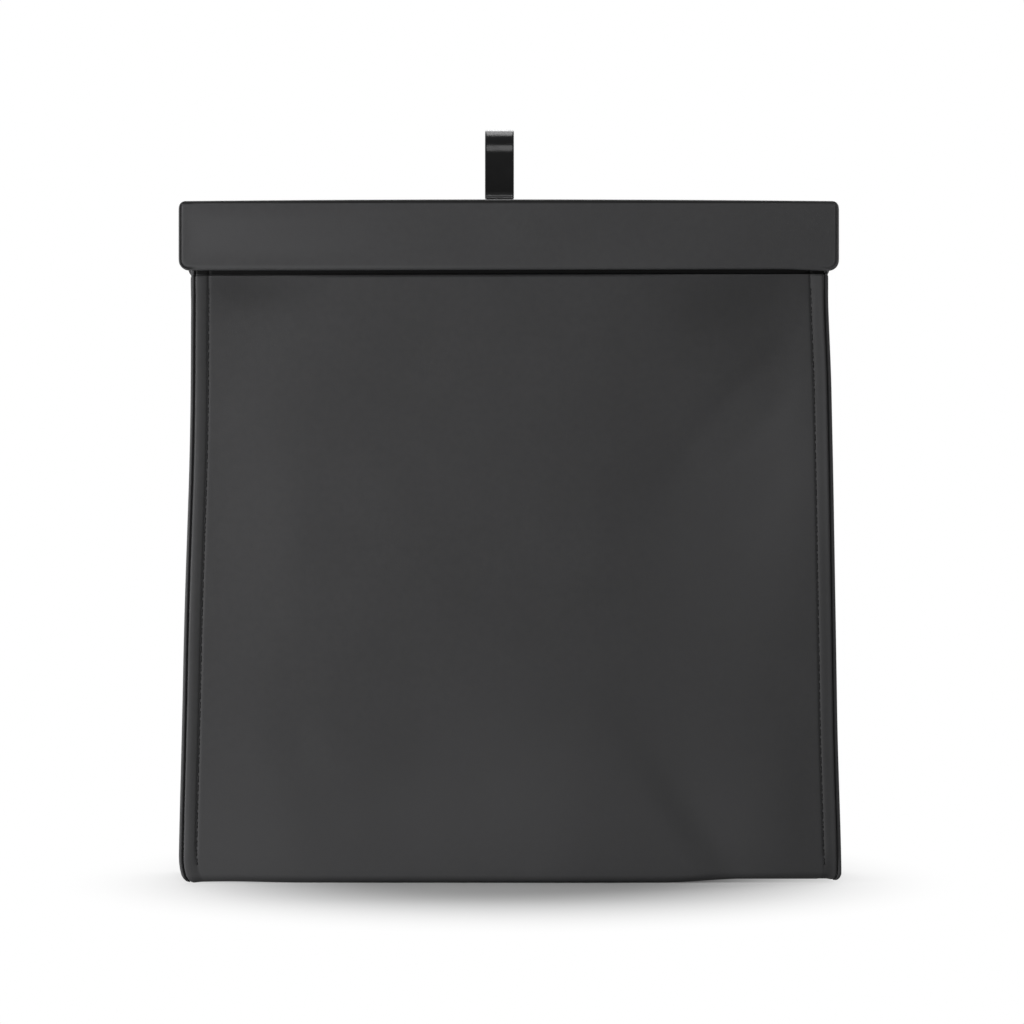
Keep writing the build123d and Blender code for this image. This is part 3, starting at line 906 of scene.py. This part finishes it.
def make_lid():
    """Leather skin of the lid, turned over its boards, with a pressed line along the lip's edges."""
    half, top_z, front_y = lid_high[0], lid_high[2], lid_low[1]
    verts, faces = swept(both_ends(half, END_INSETS, 84), lid_section)
    x, y, z = verts.T
    depth = band_depth(x, z, half, lip_z, top_z)
    front = y < front_y + 0.02
    rim_share = smooth(half - 7, half - LIP_CORNER, np.abs(x))
    crease = 0.3 * bell(depth, CREASE_INSET, 0.3) * rim_share
    pillow = 0.22 * smooth(2, 14, depth) + 0.24 * unrest(x, z, 34, 9.2) * smooth(2, 8, depth)
    y = y + front * (crease - pillow)
    top = (z > top_z - 0.02) & (y > front_y + 3)
    inside = smooth(3, 14, half - np.abs(x)) * smooth(2, 10, y - front_y)
    inside = inside * (1 - smooth(strip_low[1] - 8, strip_low[1] - 1, y))
    z = z + top * 0.12 * unrest(x, y, 38, 4.7) * inside
    z = z + 0.6 * (1 - (x / half) ** 2) * (1 - smooth(2, 4, top_z - z)) * (1 - smooth(0, 16, y))
    lip = 0.25 * x / half - 0.6 * smooth(95, 111, x)
    z = z + lip * (1 - smooth(lip_z, lip_z + 9, z))
    piece = mesh_object("lid_skin", np.column_stack([x, y, z]), faces, header_leather, sharp=50)
    # Black edge paint along the top fold and down the ends; on the right end it is weaker, a painted highlight.
    along_top = 1 - smooth(0.55, 0.95, top_z - z)
    sides = smooth(0.3, 0.5, depth) * (1 - smooth(1.0, 1.25, depth)) * rim_share
    sides = sides * np.where(x < 0, 0.9, 0.3)
    paint = np.maximum(sides, along_top) * (y < front_y + 1.6)
    # Painted light: a lighter line along the lip's lower edge at the left, a light line inside the pressed line, a
    # lighter left part of the front, and a painted highlight on the right end's rim.
    lower = 0.5 * bell(z, lip_z + 1.0, 0.5) * (1 - smooth(-60, 40, x))
    line = 0.25 * bell(depth, 1.6, 0.25) * rim_share
    left = 0.26 * (1 - smooth(-80, -38, x)) * smooth(2, 8, depth)
    right_rim = (1 - smooth(0.4, 0.8, depth)) * rim_share * (x > 0) * (y < front_y + 1.2)
    worn = np.maximum(front * np.maximum.reduce([line, lower, left]), right_rim)
    point_attributes(piece, paint=paint, worn=worn)
    stand_in(piece, "lid", "lid_cover")


def make_lid_cloth():
    """Lining glued under the lid's top and behind its lip, one bent sheet."""
    proud, bend = 0.14, 1.2
    under = lid_high[2] - LID_THICKNESS - proud
    inner = lid_low[1] + LID_THICKNESS + proud
    rear, low = (lid_cloth_high[1], under), (inner, lid_cloth_low[2])
    outline = np.vstack([
        [rear],
        run(rear, (inner + bend, under), 26),
        arc((inner + bend, under - bend), bend, 90, 180, 6),
        run((inner, under - bend), low, 10),
        [low],
    ])
    across = np.linspace(lid_cloth_low[0], lid_cloth_high[0], 90)
    grid = np.array([[(x, y, z) for x in across] for y, z in outline])
    piece = cloth_object("lid_cloth", grid, across, 0.5)
    stand_in(piece, "lid", "lid_lining")


BAR_EDGE = 1.6
BAR_EASE = 0.8


def bar_section(x):
    """Rear bar seen from the end: rounded behind, eased where it meets the back wall."""
    inset = bar_high[0] - abs(x)
    top = bar_high[2] - rounding(inset, SHOULDER)
    low = bar_low[2] + rounding(inset, LIP_CORNER)
    rear = bar_high[1] - rounding(inset, BAR_EDGE)
    front = bar_low[1] + rounding(inset, BAR_EASE)
    edge = min(BAR_EDGE, (rear - front) / 2)
    ease = min(BAR_EASE, (rear - front) / 2 - 0.05)
    bends = [
        arc((rear - edge, top - edge), edge, 0, 90, 8),
        arc((front + ease, top - ease), ease, 90, 180, 4),
        arc((front + ease, low + ease), ease, 180, 270, 4),
        arc((rear - edge, low + edge), edge, 270, 360, 8),
    ]
    return joined(bends, (3, 14, 3, 26))


def make_rear_bar():
    """Leather skin of the bar that carries the hinge and the hook."""
    verts, faces = swept(both_ends(bar_high[0], END_INSETS, 84), bar_section)
    x, y, z = verts.T
    depth = band_depth(x, z, bar_high[0], bar_low[2], bar_high[2])
    rear = y > bar_high[1] - 0.02
    clear = 1 - np.maximum(*(hill(x, z, (rivet_mid(side), rivet_z), (7, 7)) for side in (-1, 1)))
    y = y + rear * 0.16 * unrest(x, z, 30, 6.1) * smooth(1, 6, depth) * clear
    piece = mesh_object("rear_bar_skin", np.column_stack([x, y, z]), faces, header_leather, sharp=50)
    worn = 0.5 * bell(depth, 1.0, 0.4) * (y > bar_low[1] + 2)
    point_attributes(piece, paint=0.8 * (1 - smooth(0.2, 0.5, depth)), worn=worn)
    stand_in(piece, "bin", "rear_bar_cover")


def make_hinge_strip():
    """Leather strip glued across the hinge line."""
    proud, half = 0.25, 0.3
    depth = np.concatenate([
        np.linspace(strip_low[1], hinge_y - 4, 6),
        np.linspace(hinge_y - 3.4, bar_low[1] + 0.6, 22),
        np.linspace(bar_low[1] + 1, strip_high[1], 5),
    ])
    x, y = np.meshgrid(np.linspace(strip_low[0], strip_high[0], 70), depth)
    z = strip_high[2] + proud - half + 0.25 * bell(y, (hinge_y + bar_low[1]) / 2, 1.2)
    upper, lower = (np.stack([x, y, z + way * half], axis=-1) for way in (1, -1))
    verts, faces = sheet_between(upper, lower, steps=4)
    piece = mesh_object("hinge_leather", verts, faces, header_leather, sharp=60)
    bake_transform(piece)
    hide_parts("hinge_strip")


# Hook and rivets

HOOK_WIDTH = 10.4
HOOK_THICKNESS = 1.8
HOOK_GAP = 11.0
HOOK_EDGE = 0.45
HOOK_NECK = 1.6
HOOK_RISE = 0.5
ARCH_HEIGHT = 8.1  # of the strap's middle line
STEP_BEND = 1.7
NECK_BEND = 1.0  # bend over the neck, under a wider one up to the strap
STRAP_BEND = 2.5
STEP_RUN = 0.4
HOOK_LIP = 22.0
HOOK_FLARE = 2.0
TIP_RADIUS = 3.0
FOOT_HEIGHT = 15.0
FOOT_CORNER = 2.0
hook_x = (hook_low[0] + hook_high[0]) / 2
foot_y = hook_low[1] + HOOK_THICKNESS / 2
rivet_z = (rivet_low[2] + rivet_high[2]) / 2
RIVET_SPACING = 20.0
RIVET_RADIUS = 2.0
RIVET_HOLE = 2.1
HEAD_RADIUS = 3.8
HEAD_HEIGHT = 1.3
CAP_HEIGHT = 0.8


def rivet_mid(side):
    return hook_x + side * RIVET_SPACING / 2


def rounded_path(points, radii, step):
    """A line through points with its corners rounded, as close points."""
    points = [np.array(p, float) for p in points]
    line = [points[0]]

    def straight(end):
        line.extend(run(line[-1], end, max(int(np.linalg.norm(end - line[-1]) / step), 1)))

    for before, corner, after, radius in zip(points, points[1:], points[2:], radii):
        come, leave = unit(corner - before), unit(after - corner)
        bend = math.acos(np.clip(come @ leave, -1, 1))
        back = radius * math.tan(bend / 2)
        start, end = corner - come * back, corner + leave * back
        straight(start)
        hub = start + unit(leave - come * (come @ leave)) * radius
        arm = start - hub
        spin = math.copysign(1, come[0] * leave[1] - come[1] * leave[0])
        for turn in np.linspace(0, bend, max(int(bend * 24), 6)):
            c, s = math.cos(spin * turn), math.sin(spin * turn)
            line.append(hub + np.array([arm[0] * c - arm[1] * s, arm[0] * s + arm[1] * c]))
        line[-1] = end
    straight(points[-1])
    return np.array(line + [points[-1]])


def strap_section(half):
    """Rounded rectangle of the strap, half its width across."""
    edge = min(HOOK_EDGE, half * 0.9)
    flat, face = max(half - edge - 0.2, 0), HOOK_THICKNESS / 2
    right_top, left_top, left_low, right_low = corner_arcs(half, face, edge, 5)
    top, low = [(flat, face), (-flat, face)], [(-flat, -face), (flat, -face)]
    return np.vstack([right_top, top, left_top, left_low, low, right_low])


def hook_line():
    """The strap's middle line in (y, z), from its foot to its turned-out tip."""
    spring = hook_high[2] + HOOK_RISE - HOOK_THICKNESS / 2 - ARCH_HEIGHT
    tip_z = hook_high[2] - HOOK_LIP
    step_z = lid_high[2] + HOOK_NECK + STEP_BEND
    strap_y = foot_y + 2 * STEP_BEND + STEP_RUN
    free_y = strap_y + HOOK_GAP + HOOK_THICKNESS
    bend = (free_y - strap_y - STEP_RUN) / 2
    corners = [
        (foot_y, rivet_z), (foot_y, step_z), (strap_y, step_z),
        (strap_y, spring + bend), (free_y, spring + bend),
        (free_y, tip_z + 2 * HOOK_FLARE), (free_y + HOOK_FLARE, tip_z),
    ]
    line = rounded_path(corners, [NECK_BEND, STRAP_BEND, bend, bend, STEP_BEND], 1.2)
    line[:, 1] += np.maximum(line[:, 1] - spring, 0) * (ARCH_HEIGHT / bend - 1)
    return line


def foot_plate():
    """Flat foot inside the rear bar, with its two rivet holes."""
    half = (hook_high[0] - hook_low[0]) / 2
    loops = [np.vstack(corner_arcs(half, FOOT_HEIGHT / 2, FOOT_CORNER, 6))]
    for side in (-1, 1):
        loops.append(arc((side * RIVET_SPACING / 2, 0), RIVET_HOLE, 360, 15, 24))
    triangles = geometry.tessellate_polygon([[Vector((x, z, 0)) for x, z in loop] for loop in loops])
    rim = np.vstack(loops) + (hook_x, rivet_z)
    count = len(rim)
    verts = np.vstack([np.insert(rim, 1, foot_y + way * HOOK_THICKNESS / 2, axis=1) for way in (-1, 1)])
    faces = [tuple(t) for t in triangles] + [tuple(i + count for i in t[::-1]) for t in triangles]
    start = 0
    for loop in loops:
        size = len(loop)
        for k in range(size):
            a, b = start + k, start + (k + 1) % size
            faces.append((a, b, b + count, a + count))
        start += size
    return verts, faces


def make_hook():
    """Bent steel strap: a foot in the bar, a step back, and an open hook."""
    line = hook_line()
    from_tip = running_length(line[::-1])[::-1]
    finish = np.linspace(0, 1, 9)[1:] ** 2 * TIP_RADIUS
    keep = from_tip > finish[-1]
    tip = [at_length(-d, -from_tip, line) for d in finish[::-1]]
    line = np.vstack([line[keep], tip, line[-1:]])
    from_tip = np.concatenate([from_tip[keep], finish[::-1], [0]])
    along = unit(np.gradient(line, axis=0))
    out = np.column_stack([-along[:, 1], along[:, 0]])
    rings = []
    for centre, normal, left in zip(line, out, from_tip):
        section = strap_section(HOOK_WIDTH / 2 - rounding(left, TIP_RADIUS))
        rings.append(np.column_stack([hook_x + section[:, 0], centre + section[:, 1:] * normal]))
    strap = np.vstack(rings)
    plate, plate_faces = foot_plate()
    faces = tube_faces(len(rings), len(rings[0]))
    faces += [tuple(i + len(strap) for i in face) for face in plate_faces]
    piece = mesh_object("hook_strap", np.vstack([strap, plate]), faces, black_metal, sharp=35)
    # Painted highlight on the top of the arch and painted reflection in the low bend; slightly lighter along the
    # strap's edges.
    from_side = HOOK_WIDTH / 2 - np.abs(strap_section(HOOK_WIDTH / 2)[:, 0])
    rim = np.tile(from_side < 0.3, len(rings))
    bend_z = lid_high[2] + HOOK_NECK + STEP_BEND + HOOK_THICKNESS / 2 + 0.9
    in_bend = bell(strap[:, 2], bend_z, 0.8) * (strap[:, 1] < foot_y + HOOK_GAP / 2)
    crest_z = hook_high[2] + HOOK_RISE
    crest = smooth(crest_z - 2.4, crest_z - 0.8, strap[:, 2])
    worn = np.maximum.reduce([0.15 * rim, 0.9 * in_bend, 0.9 * crest])
    point_attributes(piece, worn=np.concatenate([worn, np.zeros(len(plate))]))
    stand_in(piece, "bin", "hook")


def make_rivets():
    """Two double-cap rivets through the bar, the hook's foot and the back wall."""
    outer, inner = bar_high[1], rivet_low[1] + CAP_HEIGHT
    rim = HEAD_RADIUS - 0.15
    outline = np.vstack([
        [(0.02, inner - CAP_HEIGHT)],
        arc((0, inner), (HEAD_RADIUS, CAP_HEIGHT), -88, 0, 12),
        [(rim, inner + 0.1), (RIVET_RADIUS, inner + 0.1)],
        [(RIVET_RADIUS, outer - 0.1), (rim, outer - 0.1)],
        arc((0, outer), (HEAD_RADIUS, HEAD_HEIGHT), 0, 88, 14),
        [(0.02, outer + HEAD_HEIGHT)],
    ])
    around = arc((0, 0), 1, 0, 360, 41)[:-1]
    verts, faces = [], []
    for side in (-1, 1):
        faces += tube_faces(len(outline), len(around), len(verts))
        for radius, y in outline:
            verts += np.insert(radius * around + (rivet_mid(side), rivet_z), 1, y, axis=1).tolist()
    piece = mesh_object("rivets", verts, faces, black_metal, sharp=40)
    stand_in(piece, "bin", "hook_rivets")


def dress_hidden_nodes():
    """Boards, plates and magnets inside keep their solids and get their finish."""
    finish = {"stiffener": stiffener, "steel": steel}
    for part in frame["record"]["subparts"]:
        material = finish.get(part["material_slot"])
        if material:
            mesh = frame["nodes"][part["node"]].data
            mesh.materials.clear()
            mesh.materials.append(material)


# Studio

FLOOR_HALF = 4.0
FLOOR_GREY = 0.55
SHADOW_OVAL = (0.145, 0.25)  # half widths of the patch that shows the shadow, in metres; its grey, darker than the white around it, is also a painted shadow
AMBIENT = 0.2


def make_floor():
    """Floor that keeps the real shadow near the object on a grey patch, which also paints a soft shadow oval, and
    runs out into plain white.
    """
    mesh = bpy.data.meshes.new("floor")
    corners = [(a * FLOOR_HALF, b * FLOOR_HALF, 0) for a, b in ((-1, -1), (1, -1), (1, 1), (-1, 1))]
    mesh.from_pydata(corners, [], [(0, 1, 2, 3)])
    floor = new_object("floor", mesh)
    tree = Tree(bpy.data.materials.new("floor_white"))
    squash = {"Vector": tree.place(), "Scale": (1 / SHADOW_OVAL[0], 1 / SHADOW_OVAL[1], 1.0)}
    oval = tree.add("ShaderNodeMapping", squash).outputs[0]
    reach = tree.add("ShaderNodeVectorMath", {0: oval}, operation="LENGTH").outputs["Value"]
    # Grey diffuse floor inside the oval, a painted shadow as well as the real one; plain white outside.
    far = tree.remap(reach, 0.0, 1.0, 0.3, 1.1, interpolation_type="SMOOTHSTEP")
    share = tree.math("MULTIPLY", far, tree.seen())
    matt = tree.add("ShaderNodeBsdfDiffuse", {"Color": grey(FLOOR_GREY, 1.0)}).outputs[0]
    white = tree.add("ShaderNodeEmission", {"Color": grey(1.0, 1.0), "Strength": 1.0}).outputs[0]
    mixed = tree.add("ShaderNodeMixShader", {0: share, 1: matt, 2: white}).outputs[0]
    tree.add("ShaderNodeOutputMaterial", {"Surface": mixed})
    mesh.materials.append(tree.owner)


def make_world():
    """Soft light from all around; it shows as plain white."""
    world = bpy.data.worlds.new("studio")
    bpy.context.scene.world = world
    tree = Tree(world)
    soft, white = (
        tree.add("ShaderNodeBackground", {"Color": grey(1.0, 1.0), "Strength": strength}).outputs[0]
        for strength in (AMBIENT, 1.0)
    )
    mixed = tree.add("ShaderNodeMixShader", {0: tree.seen(), 1: soft, 2: white}).outputs[0]
    tree.add("ShaderNodeOutputWorld", {"Surface": mixed})


def softbox(name, at, size, power, aim=(0, 0, 0.13)):
    """An area light, in metres and watts, that faces the bin."""
    light = bpy.data.lights.new(name, "AREA")
    light.shape = "RECTANGLE"
    light.size, light.size_y = size
    light.energy = power
    lamp = new_object(name, light)
    lamp.location = at
    lamp.rotation_euler = (Vector(aim) - Vector(at)).to_track_quat("-Z", "Y").to_euler()
    lamp.visible_camera = False


CAMERA_DISTANCE = 2.0
CAMERA_HEIGHT = 0.1287
CAMERA_SIDE = 0.0011
SENSOR = 36.0
IMAGE_WIDTH = 1024
PIXELS_PER_MM = 2.873  # at the lid's front face


def make_camera():
    """Level, straight on to the front, at the bin's middle height."""
    camera = bpy.data.cameras.new("camera")
    distance = CAMERA_DISTANCE + lid_low[1] * MM
    camera.sensor_width = SENSOR
    camera.lens = PIXELS_PER_MM / MM * distance * SENSOR / IMAGE_WIDTH
    camera.clip_start, camera.clip_end = 0.1, 20
    view = new_object("camera", camera)
    view.location = (CAMERA_SIDE, -CAMERA_DISTANCE, CAMERA_HEIGHT)
    view.rotation_euler = (math.radians(90), 0, 0)
    bpy.context.scene.camera = view


make_wrap()
make_gusset(-1, "left_side", "left_gusset")
make_gusset(1, "right_side", "right_gusset")
make_stitches()
make_lining()
make_lid()
make_lid_cloth()
make_rear_bar()
make_hinge_strip()
make_hook()
make_rivets()
dress_hidden_nodes()
make_floor()
make_world()
softbox("key", (-0.72, -0.36, 0.11), (0.28, 0.16), 8.3)
softbox("fill", (1.2, 0.9, 0.45), (0.8, 0.8), 14)
softbox("back", (0.0, 1.2, 1.45), (1.2, 1.5), 34)
softbox("crest", (0.0, 0.087, 0.658), (0.05, 0.17), 0.5, aim=(0, 0.045, 0.264))
softbox("front_strip", (0.0, -1.2, 0.82), (0.15, 0.5), 4.4, aim=(0, 0, 0.25))
make_camera()
bpy.context.scene.view_settings.view_transform = "Standard"
